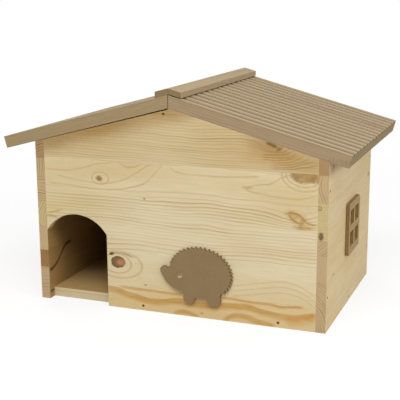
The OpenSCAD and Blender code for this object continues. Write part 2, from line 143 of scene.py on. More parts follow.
class HouseFinish(bpy.types.PropertyGroup):
    """Colours of the house's surfaces."""

    pine_pale: colour("Pine sapwood", "Pale wood between the ring lines", "#e4d6b3")
    pine_gold: colour("Pine heartwood", "Yellower stave at the top of the front", "#dcc99e")
    pine_wall: colour("Pine wall", "Smooth faces of the side walls", "#d8c499")
    pine_late: colour("Pine latewood", "Ring lines of the planed pine", "#b08f5a")
    # Painted shade: the two colours below darken the faces inside the house and the floor's top
    pine_inside_shaded: colour("Pine inside", "Rough-sawn faces inside the house", "#a48350")
    pine_floor_shaded: colour("Pine floor", "Top of the floor board", "#b49562")
    end_pale: colour("Pale end", "Sawn ends of pale staves", "#d0bb88")
    end_pink: colour("Pink end", "Sawn ends without rings in sight", "#c8ad85")
    end_brown: colour("Brown end", "Sawn ends with clear rings", "#c9ae84")
    end_red: colour("Red end", "Sawn ends of heartwood", "#ad8d62")
    end_orange: colour("Resinous end", "Sawn ends soaked with resin", "#a57b4b")
    treated_pale: colour("Treated pine", "Roof boards on the crests", "#ab9875")
    treated_cap: colour("Treated cap", "Faces of the ridge cap", "#9f8c6a")
    treated_late: colour("Treated latewood", "Ring lines of the roof boards", "#94805f")
    # Painted shade: the colour laid in the roof's grooves and a little past their edges
    groove_shade_colour: colour("Groove floor", "Darker wood in the roof's grooves", "#4d3c24")
    treated_end: colour("Treated end", "Sawn ends of the roof boards and the cap", "#89754e")
    edge_warm: colour("Warm edge", "Planed long edges of the opening half", "#a6906b")
    edge_grey: colour("Grey edge", "Planed long edges of the fixed half", "#a99272")
    board_face: colour("Brown board", "Face of the figure", "#8f7753")
    board_window: colour("Window board", "Face of the window frame", "#a1885c")
    burnt_figure: colour("Burnt figure", "Cut edges of the figure next to its faces", "#54401f")
    burnt_window: colour("Burnt window", "Cut edges of the window frame next to its faces", "#806539")
    board_core: colour("Board core", "Cut edges in the middle of the board", "#93754a")
    # Painted light: paler than the cut core, to lift the shade in the figure's drilled eye
    drilled_wall_painted_light: colour("Drilled wall", "Wall of the figure's drilled eye", "#dcc69c")
    zinc: colour("Zinc", "Plated hinges and screws", "#c3c6c9")
    nail: colour("Nail steel", "Nail heads, browned and sunk", "#62440f")


class HouseStage(bpy.types.PropertyGroup):
    """Floor, light and background around the house."""

    floor_size: FloatProperty(
        name="Floor", description="Length of the floor's side", default=8.0, min=2.0, unit="LENGTH")
    floor_tone: colour("Floor paper", "Colour of the floor's paper", "#f6f6f6")
    floor_bounce: colour("Floor bounce", "Colour that the floor throws back at the house", "#b8b0a4")
    sky_low: FloatProperty(
        name="Sky at the sides", description="Strength of the light from the horizon", default=0.2, min=0.0)
    sky_high: FloatProperty(
        name="Sky overhead", description="Strength of the light from straight above", default=0.7, min=0.0)
    key: FloatProperty(
        name="Key", description="Power of the soft lamp above the camera", default=54.0, min=0.0,
        unit="POWER")
    fill: FloatProperty(
        name="Fill", description="Power of the soft lamp on the right", default=27.0, min=0.0, unit="POWER")
    rear: FloatProperty(
        name="Rear", description="Power of the soft lamp behind the house", default=16.0, min=0.0,
        unit="POWER")


def add(tree, kind, inputs=(), out=0, **settings):
    """Adds one node with its settings and what goes into its sockets, and gives one output if it has any."""
    made = tree.nodes.new("ShaderNode" + kind)
    for name, value in settings.items():
        setattr(made, name, value)
    for key, value in inputs.items() if isinstance(inputs, dict) else enumerate(inputs):
        if isinstance(value, bpy.types.NodeSocket):
            tree.links.new(value, made.inputs[key])
        else:
            made.inputs[key].default_value = value
    return made.outputs[out] if made.outputs else None


def new_material(name):
    """An empty material and its node tree."""
    made = bpy.data.materials.new(name)
    made.use_nodes = True
    made.node_tree.nodes.clear()
    return made, made.node_tree


def finish_material(tree, inputs, height, relief):
    """Ends a material in its shader, with a bump of a real depth in mm."""
    bump = add(tree, "Bump", {"Strength": 1.0, "Distance": relief / 1000, "Height": height})
    shader = add(tree, "BsdfPrincipled", {**inputs, "Normal": bump})
    add(tree, "OutputMaterial", {"Surface": shader})


def rgba(values):
    """A colour as the four numbers that a socket takes."""
    return (*values, 1.0)


def stave_colours(tree, across, staves, finish, part):
    """The colour of each stave's faces or sawn ends, which changes at the glue lines."""
    first = staves[0].start
    place = add(tree, "MapRange", {"Value": across, "From Min": first, "From Max": first + BOARD_SPAN})
    tones = add(tree, "ValToRGB", [place])
    ramp = tones.node.color_ramp
    ramp.interpolation = "CONSTANT"
    ramp.elements.remove(ramp.elements[1])
    ramp.elements[0].color = rgba(getattr(finish, getattr(staves[0], part)))
    for stave in staves[1:]:
        step = ramp.elements.new((stave.start - first) / BOARD_SPAN)
        step.color = rgba(getattr(finish, getattr(stave, part)))
    return tones


def in_stave(tree, board, stave, across):
    """1 in the stave that a place across the board belongs to, and 0 in the others."""
    own = sum(across >= joint.start for joint in board.staves[1:])
    return add(tree, "Math", [stave, own, 0.5], operation="COMPARE")


def wood_figure(tree, board):
    """Draws a sawn board's growth rings in mm, and gives the sockets that its colours are mixed by."""
    place = add(tree, "TexCoord", out="Object")
    normal = place.node.outputs["Normal"]
    mm = add(tree, "VectorMath", [place, (1000.0, 1000.0, 1000.0)], operation="MULTIPLY")
    if board.turn:
        mm = add(tree, "VectorRotate", {"Vector": mm, "Center": (0.0, 0.0, RIDGE_Z), "Angle": board.turn},
                 rotation_type="Y_AXIS")
        normal = add(tree, "VectorRotate", {"Vector": normal, "Angle": board.turn}, rotation_type="Y_AXIS")
    axes = add(tree, "SeparateXYZ", [mm]).node.outputs
    faces = add(tree, "SeparateXYZ", [normal]).node.outputs
    order = ["xyz".index(letter) for letter in board.grain]
    along, across, through = (axes[i] for i in order)
    grain = add(tree, "CombineXYZ", [along, across, through])

    # Which way the surface faces: sawn ends, long edges, and the face inside the house
    ahead, beside, out = (faces[i] for i in order)
    turned = {"end": add(tree, "Math", [ahead], operation="ABSOLUTE"),
              "edge": add(tree, "Math", [beside], operation="ABSOLUTE"),
              "inner": add(tree, "Math", [out, board.inside], operation="MULTIPLY")}
    facing = {side: add(tree, "MapRange", {"Value": turn, "From Min": 0.6, "From Max": 0.9})
              for side, turn in turned.items()}

    # Staves glued edge to edge, each from another log
    pasts = [add(tree, "Math", [across, stave.start], operation="GREATER_THAN") for stave in board.staves[1:]]

    def by_stave(values):
        """A value that steps at the glue lines."""
        value = values[0]
        for past, before, after in zip(pasts, values, values[1:]):
            value = add(tree, "Math", [past, after - before, value], operation="MULTIPLY_ADD")
        return value

    stave = by_stave(range(len(board.staves)))
    bold = by_stave([stave.line for stave in board.staves])
    sawn = by_stave([stave.sawn for stave in board.staves])
    number = add(tree, "Math", [stave, board.seed], operation="ADD")
    chance = add(tree, "TexWhiteNoise", {"W": number}, noise_dimensions="1D")
    seam = BOARD_SPAN
    for joint in board.staves[1:]:
        away = add(tree, "Math", [across, joint.start], operation="SUBTRACT")
        away = add(tree, "Math", [away], operation="ABSOLUTE")
        seam = add(tree, "Math", [away, seam], operation="MINIMUM")

    # Rings seen flat on the face, or as circles round the pith, which runs beside or behind the board
    level = across
    if not board.flat_rings:
        pith = [by_stave([stave.pith[i] for stave in board.staves]) for i in (0, 1)]
        off_across = add(tree, "Math", [across, pith[0]], operation="SUBTRACT")
        off_through = add(tree, "Math", [through, pith[1]], operation="SUBTRACT")
        off = add(tree, "CombineXYZ", [off_across, off_through, 0.0])
        level = add(tree, "VectorMath", [off], out="Value", operation="LENGTH")

    # The log isn't straight: its rings wander slowly along the grain
    apart = add(tree, "Math", [number, 13.7], operation="MULTIPLY")
    slow = add(tree, "VectorMath", [grain, (1 / board.wave_l, 1 / board.wave_w, 1 / board.wave_w)],
               operation="MULTIPLY")
    wander = add(tree, "TexNoise", {"Vector": slow, "W": apart, "Scale": 1.0, "Detail": 2.0,
                                    "Roughness": 0.45}, noise_dimensions="4D")
    swing = add(tree, "Math", [wander, 0.5], operation="SUBTRACT")
    level = add(tree, "Math", [swing, 2 * board.wave, level], operation="MULTIPLY_ADD")

    # Round a knot the rings bulge, which closes them into an eye on the face
    for bulge in board.bulges:
        near = (1 / bulge.reach_l, 1 / bulge.reach_w, 0.0)
        start = (-bulge.along / bulge.reach_l, -bulge.across / bulge.reach_w, 0.0)
        off = add(tree, "VectorMath", [grain, near, start], operation="MULTIPLY_ADD")
        squared = add(tree, "VectorMath", [off, off], out="Value", operation="DOT_PRODUCT")
        swell = add(tree, "Math", [math.exp(-1), squared], operation="POWER")
        here = in_stave(tree, board, stave, bulge.across)
        swell = add(tree, "Math", [swell, here], operation="MULTIPLY")
        level = add(tree, "Math", [swell, bulge.lift, level], operation="MULTIPLY_ADD")

    # Count of the rings, whose width changes with the level
    count, wide = 0.0, board.rings[0][1]
    for i, (low, width) in enumerate(board.rings):
        high = board.rings[i + 1][0] if i + 1 < len(board.rings) else BOARD_SPAN
        share = add(tree, "MapRange", {"Value": level, "From Min": low, "From Max": high,
                                       "To Max": (high - low) / width})
        count = add(tree, "Math", [share, count], operation="ADD")
        past = add(tree, "Math", [level, low], operation="GREATER_THAN")
        last = board.rings[max(i - 1, 0)][1]
        wide = add(tree, "Math", [past, width - last, wide], operation="MULTIPLY_ADD")
    uneven = add(tree, "TexNoise", {"W": count, "Scale": 0.3, "Detail": 1.0}, noise_dimensions="1D")
    count = add(tree, "Math", [uneven, 1.2, count], operation="MULTIPLY_ADD")

    # Pale earlywood deepens within some 3 mm into a latewood line with a sharp outer edge
    part = add(tree, "Math", [count], operation="FRACT")
    left = add(tree, "Math", [1.0, part], operation="SUBTRACT")
    left = add(tree, "Math", [left, wide], operation="MULTIPLY")
    soft = add(tree, "Math", [wide, 0.7], operation="MULTIPLY")
    soft = add(tree, "Math", [soft, 3.2], operation="MINIMUM")
    line = add(tree, "MapRange", {"Value": left, "From Min": 0.5, "From Max": soft, "To Min": 1.0,
                                  "To Max": 0.0}, interpolation_type="SMOOTHSTEP")
    # No two lines are alike
    ring = add(tree, "Math", [count], operation="FLOOR")
    ring = add(tree, "Math", [ring, apart], operation="ADD")
    luck = add(tree, "TexWhiteNoise", {"W": ring}, noise_dimensions="1D")
    weight = add(tree, "MapRange", {"Value": luck, "To Min": 0.35})
    line = add(tree, "Math", [line, weight], operation="MULTIPLY")
    patchy = add(tree, "VectorMath", [grain, (1 / 160, 1 / 30, 1 / 30)], operation="MULTIPLY")
    patches = add(tree, "TexNoise", {"Vector": patchy, "W": apart, "Scale": 1.0, "Detail": 1.0},
                  noise_dimensions="4D")
    weight = add(tree, "MapRange", {"Value": patches, "From Min": 0.32, "From Max": 0.68, "To Min": 0.35})
    line = add(tree, "Math", [line, weight], operation="MULTIPLY")

    # Fibres are 0.03 mm wide, too fine to show, so they are drawn 1.7 mm wide
    fine = add(tree, "VectorMath", [grain, (1 / 44, 1 / 1.7, 1 / 1.7)], operation="MULTIPLY")
    fibre = add(tree, "TexNoise", {"Vector": fine, "Scale": 1.0, "Detail": 3.0, "Roughness": 0.6})

    # Glue line between the staves, 0.3 mm wide, drawn 1 mm wide to show
    glue = add(tree, "MapRange", {"Value": seam, "From Min": 0.2, "From Max": 1.0,
                                  "To Min": 1.0, "To Max": 0.0})
    return {"grain": grain, "along": along, "across": across, "through": through, "stave": stave,
            "line": line, "bold": bold, "sawn": sawn, "tone": chance, "patches": patches, "fibre": fibre,
            "glue": glue, **facing}


def add_streaks(tree, wood, figure, streaks):
    """Lays dark lines over the wood along their routes, sharp above, fading below and at both ends."""
    part = add(tree, "MapRange", {"Value": figure["along"], "From Min": -BOARD_SPAN / 2,
                                  "From Max": BOARD_SPAN / 2})
    stretched = add(tree, "VectorMath", [figure["grain"], (1 / 40, 1 / 14, 1 / 14)], operation="MULTIPLY")
    ragged = add(tree, "TexNoise", {"Vector": stretched, "Scale": 1.0, "Detail": 2.0})
    swing = add(tree, "Math", [ragged, 0.5], operation="SUBTRACT")
    uneven = add(tree, "Math", [swing, 4.0, figure["across"]], operation="MULTIPLY_ADD")
    bold = add(tree, "MapRange", {"Value": ragged, "From Min": 0.3, "From Max": 0.55, "To Min": 0.7})
    grainy = add(tree, "MapRange", {"Value": figure["fibre"], "From Min": 0.3, "From Max": 0.7, "To Min": 1.0,
                                    "To Max": 0.7})
    bold = add(tree, "Math", [bold, grainy], operation="MULTIPLY")
    for streak in streaks:
        points = [(x / BOARD_SPAN + 0.5, z / BOARD_SPAN) for x, z in streak.route]
        height = add(tree, "FloatCurve", {"Value": part})
        route = height.node.mapping.curves[0].points
        route[0].location, route[1].location = points[0], points[-1]
        for point in points[1:-1]:
            route.new(*point)
        height.node.mapping.update()
        above = add(tree, "Math", [height, -BOARD_SPAN, uneven], operation="MULTIPLY_ADD")
        away = add(tree, "Math", [above, -1.0], operation="MULTIPLY")
        steep = add(tree, "Math", [above, 3.0], operation="MULTIPLY")
        away = add(tree, "Math", [away, steep], operation="MAXIMUM")
        inside = add(tree, "MapRange", {"Value": away, "From Min": 0.3 * streak.fade, "From Max": streak.fade,
                                        "To Min": streak.strength, "To Max": 0.0},
                     interpolation_type="SMOOTHSTEP")
        inside = add(tree, "Math", [inside, figure["inner"] if streak.inner else bold], operation="MULTIPLY")
        for end, way in ((streak.route[0][0], 1), (streak.route[-1][0], -1)):
            ended = add(tree, "MapRange", {"Value": figure["along"], "From Min": end - 6 * way,
                                           "From Max": end + 6 * way}, interpolation_type="SMOOTHSTEP")
            inside = add(tree, "Math", [inside, ended], operation="MULTIPLY")
        wood = add(tree, "Mix", {0: inside, 6: wood, 7: rgba(linear(streak.code))}, out=2, data_type="RGBA")
    return wood


def add_knots(tree, wood, figure, board):
    """Sets knots into the wood, with a ragged outline and a rim of another colour than the heart."""
    rough = add(tree, "TexNoise", {"Vector": figure["grain"], "Scale": 0.22, "Detail": 2.0})
    rough = add(tree, "Math", [rough, 0.5], operation="SUBTRACT")
    mottle = add(tree, "MapRange", {"Value": rough, "From Min": -0.2, "From Max": 0.2,
                                    "To Min": 0.82, "To Max": 1.18})
    for knot in board.knots:
        wide = tuple(1 / half for half in knot.half)
        start = tuple(-middle / half for middle, half in zip(knot.middle, knot.half))
        place = add(tree, "VectorRotate", {"Vector": figure["grain"], "Center": knot.middle,
                                           "Angle": math.radians(knot.lean)}, rotation_type="Z_AXIS")
        inside = add(tree, "VectorMath", [place, wide, start], operation="MULTIPLY_ADD")
        distance = add(tree, "VectorMath", [inside], out="Value", operation="LENGTH")
        ragged = 0.06 if knot.hollow else 0.35
        distance = add(tree, "Math", [rough, ragged, distance], operation="MULTIPLY_ADD")
        if knot.hollow:
            off = add(tree, "Math", [distance, 1.0], operation="SUBTRACT")
            off = add(tree, "Math", [off], operation="ABSOLUTE")
            core = add(tree, "MapRange", {"Value": off, "From Max": knot.soft, "To Min": knot.strength,
                                          "To Max": 0.0}, interpolation_type="SMOOTHSTEP")
        else:
            core = add(tree, "MapRange", {"Value": distance, "From Min": 1 - knot.soft,
                                          "From Max": 1 + knot.soft, "To Min": knot.strength, "To Max": 0.0},
                       interpolation_type="SMOOTHSTEP")
        here = in_stave(tree, board, figure["stave"], knot.middle[1])
        core = add(tree, "Math", [core, here], operation="MULTIPLY")
        edge = add(tree, "MapRange", {"Value": distance, "From Min": 0.55, "From Max": 1.0},
                   interpolation_type="SMOOTHSTEP")
        mark = add(tree, "Mix", {0: edge, 6: rgba(linear(knot.heart)), 7: rgba(linear(knot.rim))},
                   out=2, data_type="RGBA")
        if knot.half[0] < 30:
            mark = add(tree, "VectorMath", [mark, mottle], operation="MULTIPLY")
        wood = add(tree, "Mix", {0: core, 6: wood, 7: mark}, out=2, data_type="RGBA")
    return wood


def planed_pine(name, board, finish):
    """Untreated pine, planed and edge-glued.

    The eye sees a pale cream face with tan ring lines, knots with bent grain round them, darker sawn ends,
    faces inside the house darkened with painted shade, and a faint satin shine along the fibres.
    """
    made, tree = new_material(name)
    figure = wood_figure(tree, board)
    face = stave_colours(tree, figure["across"], board.staves, finish, "face")
    # Painted shade on the faces inside the house
    face = add(tree, "Mix", {0: figure["inner"], 6: face, 7: rgba(getattr(finish, board.inner))},
               out=2, data_type="RGBA")
    warm = add(tree, "VectorMath", [face, (0.94, 0.9, 0.8)], operation="MULTIPLY")
    tint = add(tree, "MapRange", {"Value": figure["patches"], "From Min": 0.35, "From Max": 0.7})
    face = add(tree, "Mix", {0: tint, 6: face, 7: warm}, out=2, data_type="RGBA")
    late = add(tree, "Math", [figure["line"], figure["bold"]], operation="MULTIPLY")
    face = add(tree, "Mix", {0: late, 6: face, 7: rgba(finish.pine_late)}, out=2, data_type="RGBA")
    sawn = stave_colours(tree, figure["across"], board.staves, finish, "end")
    dark = add(tree, "VectorMath", [sawn, (0.46, 0.4, 0.32)], operation="MULTIPLY")
    late = add(tree, "Math", [figure["line"], figure["sawn"]], operation="MULTIPLY")
    sawn = add(tree, "Mix", {0: late, 6: sawn, 7: dark}, out=2, data_type="RGBA")
    wood = add(tree, "Mix", {0: figure["end"], 6: face, 7: sawn}, out=2, data_type="RGBA")
    shade = add(tree, "MapRange", {"Value": figure["tone"], "To Min": 0.97, "To Max": 1.03})
    streak = add(tree, "MapRange", {"Value": figure["fibre"], "From Min": 0.25, "From Max": 0.75,
                                    "To Min": 0.91, "To Max": 1.07})
    shade = add(tree, "Math", [shade, streak], operation="MULTIPLY")
    shade = add(tree, "Math", [figure["glue"], -0.1, shade], operation="MULTIPLY_ADD")
    wood = add(tree, "VectorMath", [wood, shade], operation="MULTIPLY")
    wood = add_streaks(tree, wood, figure, board.streaks)
    wood = add_knots(tree, wood, figure, board)
    satin = add(tree, "MapRange", {"Value": figure["line"], "To Min": 0.66, "To Max": 0.54})
    height = add(tree, "Math", [figure["line"], 0.5, figure["fibre"]], operation="MULTIPLY_ADD")
    finish_material(tree, {"Base Color": wood, "Roughness": satin}, height, 0.12)
    return made


def treated_pine(name, board, face, edge, finish):
    """Pressure-treated pine, grooved by a moulding cutter.

    The eye sees a greyish brown with fine streaks down the slope, grooves darkened with painted shade that
    reaches onto the crests between them, and long edges and sawn ends that took up more of the brown salts.
    """
    made, tree = new_material(name)
    figure = wood_figure(tree, board)
    wood = add(tree, "Mix", {0: figure["line"], 6: rgba(face), 7: rgba(finish.treated_late)},
               out=2, data_type="RGBA")
    if board.turn:
        # Painted shade in the grooves, dark from just below the crests down
        crest = RIDGE_Z + ROOF_T
        groove_shade_mask = add(tree, "MapRange", {"Value": figure["through"], "From Min": crest - GROOVE_DEPTH / 5,
                                      "From Max": crest, "To Min": 1.0, "To Max": 0.0})
        upper = add(tree, "Math", [figure["through"], crest - 2 * GROOVE_DEPTH], operation="GREATER_THAN")
        # Painted shade: the dark lines in the photo are wider than the grooves, so the shade reaches past
        # their edges onto the crests
        off = add(tree, "Math", [figure["across"], FIRST_GROOVE_Y], operation="SUBTRACT")
        off = add(tree, "Math", [off, GROOVE_PITCH / 2], operation="PINGPONG")
        lip_shade_mask = add(tree, "MapRange", {"Value": off, "From Min": GROOVE_WIDTH / 2,
                                     "From Max": GROOVE_WIDTH / 2 + GROOVE_SHADE_REACH,
                                     "To Min": 0.8, "To Max": 0.0})
        groove_shade_mask = add(tree, "Math", [groove_shade_mask, lip_shade_mask], operation="MAXIMUM")
        groove_shade_mask = add(tree, "Math", [groove_shade_mask, upper], operation="MULTIPLY")
        wood = add(tree, "Mix", {0: groove_shade_mask, 6: wood, 7: rgba(finish.groove_shade_colour)}, out=2, data_type="RGBA")
    side = add(tree, "Mix", {0: figure["line"], 6: rgba(edge), 7: rgba(finish.treated_late)},
               out=2, data_type="RGBA")
    wood = add(tree, "Mix", {0: figure["edge"], 6: wood, 7: side}, out=2, data_type="RGBA")
    wood = add(tree, "Mix", {0: figure["end"], 6: wood, 7: rgba(finish.treated_end)}, out=2, data_type="RGBA")
    streak = add(tree, "MapRange", {"Value": figure["fibre"], "From Min": 0.2, "From Max": 0.8,
                                    "To Min": 0.86, "To Max": 1.12})
    wood = add(tree, "VectorMath", [wood, streak], operation="MULTIPLY")
    wood = add_knots(tree, wood, figure, board)
    height = add(tree, "Math", [figure["line"], 0.6, figure["fibre"]], operation="MULTIPLY_ADD")
    finish_material(tree, {"Base Color": wood, "Roughness": 0.75}, height, 0.2)
    return made


def brown_board(name, face, burnt, core, axis, middle, half, drilled=None, painted_light_wall=None):
    """Medium-density fibreboard cut by a laser.

    The eye sees an even matt brown face with fine flecks of fibre, and cut edges burnt dark next to the faces
    and lighter in the middle of the board. A drilled hole isn't burnt: its middle is given in mm, and its
    wall takes a pale colour, painted light that lifts the shade in the hole.
    """
    made, tree = new_material(name)
    place = add(tree, "TexCoord", out="Object")
    axis = "xyz".index(axis)
    normal = add(tree, "SeparateXYZ", [place.node.outputs["Normal"]]).node.outputs[axis]
    flat = add(tree, "Math", [normal], operation="ABSOLUTE")
    cut = add(tree, "MapRange", {"Value": flat, "From Min": 0.5, "From Max": 0.9,
                                 "To Min": 1.0, "To Max": 0.0})
    depth = add(tree, "SeparateXYZ", [place]).node.outputs[axis]
    depth = add(tree, "Math", [depth, middle / 1000], operation="SUBTRACT")
    depth = add(tree, "Math", [depth], operation="ABSOLUTE")
    outer = add(tree, "MapRange", {"Value": depth, "From Min": 0.1 * half / 1000,
                                   "From Max": 0.6 * half / 1000})
    side = add(tree, "Mix", {0: outer, 6: rgba(core), 7: rgba(burnt)}, out=2, data_type="RGBA")
    if drilled:
        away = add(tree, "VectorMath", [place, Vector(drilled) / 1000], out="Value", operation="DISTANCE")
        # Painted light: the drilled wall is paler than the cut core
        laser = add(tree, "Math", [away, DRILL_REACH / 1000], operation="GREATER_THAN")
        side = add(tree, "Mix", {0: laser, 6: rgba(painted_light_wall), 7: side}, out=2, data_type="RGBA")
    # Fibre bundles of about 2 mm, and cloudy pressing marks of about 25 mm
    fleck = add(tree, "TexNoise", {"Vector": place, "Scale": 1000 / 2, "Detail": 3.0, "Roughness": 0.65})
    cloud = add(tree, "TexNoise", {"Vector": place, "Scale": 1000 / 25, "Detail": 1.0})
    shade = add(tree, "MapRange", {"Value": fleck, "From Min": 0.25, "From Max": 0.75,
                                   "To Min": 0.9, "To Max": 1.08})
    haze = add(tree, "MapRange", {"Value": cloud, "From Min": 0.3, "From Max": 0.7,
                                  "To Min": 0.96, "To Max": 1.03})
    shade = add(tree, "Math", [shade, haze], operation="MULTIPLY")
    face = add(tree, "VectorMath", [tuple(face), shade], operation="MULTIPLY")
    paint = add(tree, "Mix", {0: cut, 6: face, 7: side}, out=2, data_type="RGBA")
    finish_material(tree, {"Base Color": paint, "Roughness": 0.8}, fleck, 0.05)
    return made


def zinc_plate(name, tone):
    """Steel with a thin coat of bright zinc, as hinges and screws come.

    The eye sees a pale metal with a soft, slightly clouded shine.
    """
    made, tree = new_material(name)
    place = add(tree, "TexCoord", out="Object")
    # Spangle of the coat, about 1.5 mm
    cloud = add(tree, "TexNoise", {"Vector": place, "Scale": 1000 / 1.5, "Detail": 2.0})
    shade = add(tree, "MapRange", {"Value": cloud, "To Min": 0.82, "To Max": 1.1})
    metal = add(tree, "VectorMath", [tuple(tone), shade], operation="MULTIPLY")
    dull = add(tree, "MapRange", {"Value": cloud, "To Min": 0.28, "To Max": 0.46})
    finish_material(tree, {"Base Color": metal, "Metallic": 1.0, "Roughness": dull}, cloud, 0.01)
    return made


def browned_wire(name, tone):
    """Steel wire nails, browned by rust and set flush.

    The eye sees small matt dark-brown discs.
    """
    made, tree = new_material(name)
    place = add(tree, "TexCoord", out="Object")
    # Rust grains, about 0.4 mm, drawn 0.8 mm wide to show
    grain = add(tree, "TexNoise", {"Vector": place, "Scale": 1000 / 0.8, "Detail": 2.0})
    shade = add(tree, "MapRange", {"Value": grain, "To Min": 0.75, "To Max": 1.2})
    rust = add(tree, "VectorMath", [tuple(tone), shade], operation="MULTIPLY")
    finish_material(tree, {"Base Color": rust, "Metallic": 0.1, "Roughness": 0.8}, grain, 0.02)
    return made


def dress(node, material):
    """Gives a CAD node its finish."""
    slots = NODES[node].material_slots
    if not slots:
        raise RuntimeError(f"{node} has no material slot")
    for slot in slots:
        slot.material = material


# Half thickness of a knot that goes right through its board, in mm
DEEP = 1000.0

# Colour of the ring lines round the knots
RING = "#c0a26a"
FRONT_KNOTS = (
    # Yellower wood at the foot, and painted light behind the figure's eye: a patch paler than the panel
    Knot((65, 12, 0), (230, 34, DEEP), "#d8b05c", "#d8b05c", 0.5, 0.45),
    Knot((19, 69, 0), (5, 5, DEEP), "#fff2d8", "#fff2d8", 0.1, 1.0),
    # Small knot at the upper left
    Knot((-122, 219, 0), (15.5, 10.5, DEEP), RING, RING, 0.16, 0.6, hollow=True),
    Knot((-124, 218.5, 0), (6.2, 5, DEEP), "#7a5a2e", "#a98c56", 0.35, 0.95, 20.0),
    # Knot beside the entrance, with its rings and a dark speck
    Knot((-93, 75, 0), (44, 23.5, DEEP), RING, RING, 0.1, 0.5, hollow=True),
    Knot((-95, 76.5, 0), (26, 16.8, DEEP), RING, RING, 0.13, 0.55, hollow=True),
    Knot((-93.5, 79.2, 0), (13, 10.2, DEEP), "#7a5026", "#5f411b", 0.1, 0.95),
    Knot((-88.5, 79, 0), (8.5, 6.6, DEEP), "#b58658", "#a27244", 0.5, 0.9),
    Knot((-105, 92.5, 0), (4.6, 2.8, DEEP), "#3f300c", "#77602f", 0.35, 0.95, -15.0),
    # Leaning knot at the right, and a smear under it
    Knot((212, 179, 0), (19, 9.5, DEEP), "#c09656", "#c9a569", 0.6, 0.7, 28.0),
    Knot((210, 180, 0), (12.5, 6, DEEP), "#94702f", "#94702f", 0.35, 0.45, 28.0, True),
    Knot((212, 177, 0), (5, 2.6, DEEP), "#dcc590", "#cdab6c", 0.5, 0.9, 28.0),
    Knot((222, 165, 0), (16, 3.6, DEEP), "#b88e48", "#c4a468", 0.5, 0.75),
    # Knot at the right end, which the glue line cuts off, and a smear left of it
    Knot((221, 248, 0), (36, 26.5, DEEP), RING, RING, 0.09, 0.5, hollow=True),
    Knot((221, 248, 0), (29, 19.5, DEEP), RING, RING, 0.11, 0.55, hollow=True),
    Knot((240, 248, 0), (22, 12.5, DEEP), "#ae8a4e", "#a07a3e", 0.2, 0.8),
    Knot((220, 248, 0), (21, 13.8, DEEP), "#ac874c", "#98713a", 0.2, 0.8),
    Knot((208, 244, 0), (7, 5, DEEP), "#86602e", "#98733f", 0.7, 0.4),
    Knot((132, 221.5, 0), (9, 2.6, DEEP), "#c39f62", "#cbab74", 0.6, 0.6),
    # Browner wood under the fan of lines at the right of the gable, and its two dark spots
    Knot((170, 274, 0), (60, 22, DEEP), "#bd9350", "#c6a264", 0.8, 0.5),
    Knot((226, 263, 0), (36, 16, DEEP), "#a88444", "#a88444", 0.8, 0.45),
    Knot((163, 287, 0), (34, 12, DEEP), "#9c7230", "#9c7230", 0.8, 0.5, 15.0),
    Knot((169.5, 290.5, 0), (11, 2.8, DEEP), "#6b4c1c", "#8a6830", 0.6, 0.85, 20.0),
    Knot((182, 284.5, 0), (6, 2.6, DEEP), "#84632d", "#9a7638", 0.6, 0.7, -30.0),
    # Broad tints, fitted to the photo
    Knot((-70, 238, 0), (110, 16, DEEP), "#c9a45a", "#c9a45a", 0.8, 0.3),
    Knot((200, 200, 0), (50, 22, DEEP), "#c9a45a", "#c9a45a", 0.8, 0.3),
    Knot((-25, 124, 0), (115, 18, DEEP), "#efe2c2", "#efe2c2", 0.8, 0.45),
    Knot((-205, 185, 0), (90, 62, DEEP), "#d9c48e", "#d9c48e", 0.7, 0.4),
    # Painted shade under the left roof half's edge: a browner band that follows it, fitted to the photo
    Knot((-117, 307, 0), (135, 22, DEEP), "#9a7020", "#9a7020", 0.8, 0.62, -15.0),
    Knot((8, 331, 0), (36, 14, DEEP), "#9a7020", "#9a7020", 0.8, 0.4),
    Knot((-208, 277, 0), (40, 12, DEEP), "#8f6a24", "#94702c", 0.8, 0.4, -15.0),
    Knot((-112, 303, 0), (44, 9, DEEP), "#94702c", "#94702c", 0.8, 0.35, -15.0),
    # Specks
    Knot((-43, 190.5, 0), (2.6, 1.6, DEEP), "#9c8050", "#b79d6b", 0.4, 0.8),
    Knot((-44, 44.5, 0), (3.4, 1.2, DEEP), "#9c8050", "#b79d6b", 0.4, 0.8),
    Knot((55, 7.6, 0), (3, 1.2, DEEP), "#9c8050", "#b79d6b", 0.4, 0.8),
)
FRONT_BULGES = (
    Bulge(-124, 218, 27, 12, 8),
    Bulge(211, 178, 36, 15, 12),
    Bulge(-86, 80, 50, 24, 6),
    Bulge(170, 292, 26, 20, 12),
)
